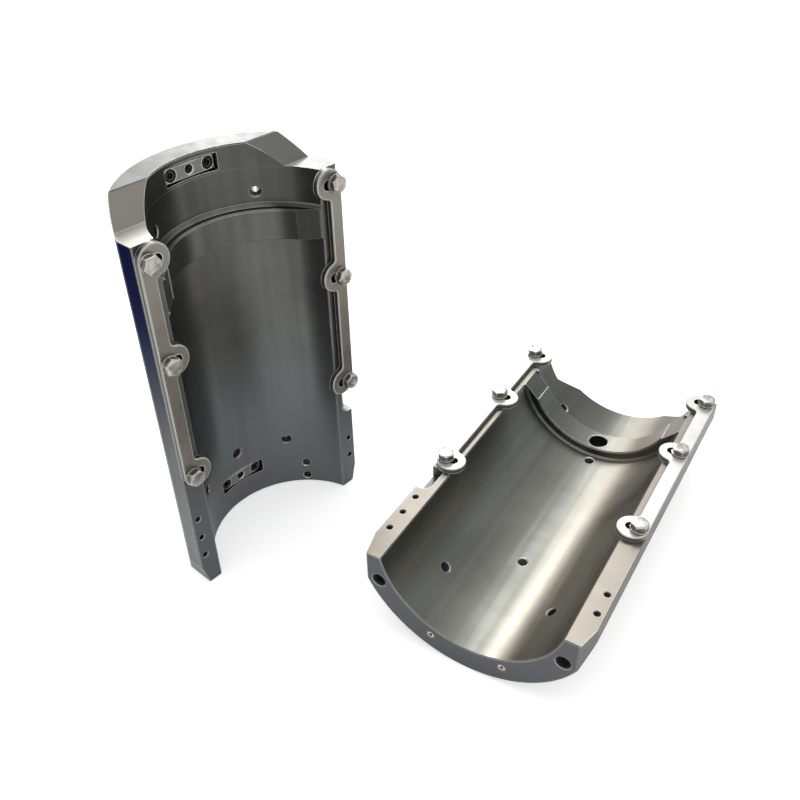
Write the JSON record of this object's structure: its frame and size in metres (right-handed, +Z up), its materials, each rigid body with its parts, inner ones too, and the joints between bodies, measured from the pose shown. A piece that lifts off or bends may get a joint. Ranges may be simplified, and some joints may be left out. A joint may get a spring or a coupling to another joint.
{
  "type": "blow mould",
  "caption": "Pair of half-round mould shells for blow moulding, one standing and one lying, with sliding clamp strips beside the bore.",
  "frame": {"origin": "on the floor under the middle of the pair's box", "axes": "+Z up; +X along the standing half's parting face, to the right seen from in front; +Y from that face into its back"},
  "size_m": [0.4358, 0.3918, 0.345],
  "materials": {
    "anodised_shell": "hard-anodised, satin",
    "strip_steel": "ground steel, satin",
    "bolt_zinc": "bright zinc",
    "washer_zinc": "bright zinc",
    "bar_steel": "ground steel, satin",
    "black_screw": "black oxide",
    "brass_plug": "turned brass"
  },
  "bodies": {
    "shells": {"standing_shell": "anodised_shell", "lying_shell": "anodised_shell", "top_lock_bar": "bar_steel", "top_bar_screws": "black_screw", "bottom_lock_bar": "bar_steel", "bottom_bar_screws": "black_screw", "standing_channel_plugs": "brass_plug", "standing_left_bolts": "bolt_zinc", "standing_left_washers": "washer_zinc", "standing_right_bolts": "bolt_zinc", "standing_right_washers": "washer_zinc", "lying_channel_plugs": "brass_plug", "lying_left_bolts": "bolt_zinc", "lying_left_washers": "washer_zinc", "lying_right_bolts": "bolt_zinc", "lying_right_washers": "washer_zinc"},
    "standing_left_strip": {"standing_left_strip": "strip_steel"},
    "standing_right_strip": {"standing_right_strip": "strip_steel"},
    "lying_left_strip": {"lying_left_strip": "strip_steel"},
    "lying_right_strip": {"lying_right_strip": "strip_steel"}
  },
  "joints": [
    {"name": "standing_left_strip_slide", "type": "slide", "parent": "shells", "child": "standing_left_strip", "axis": [-1, 0, 0], "range_m": [0, 0.007]},
    {"name": "standing_right_strip_slide", "type": "slide", "parent": "shells", "child": "standing_right_strip", "axis": [1, 0, 0], "range_m": [0, 0.007]},
    {"name": "lying_left_strip_slide", "type": "slide", "parent": "shells", "child": "lying_left_strip", "axis": [-0.1908, 0.9816, 0], "range_m": [0, 0.007]},
    {"name": "lying_right_strip_slide", "type": "slide", "parent": "shells", "child": "lying_right_strip", "axis": [0.1908, -0.9816, 0], "range_m": [0, 0.007]}
  ]
}
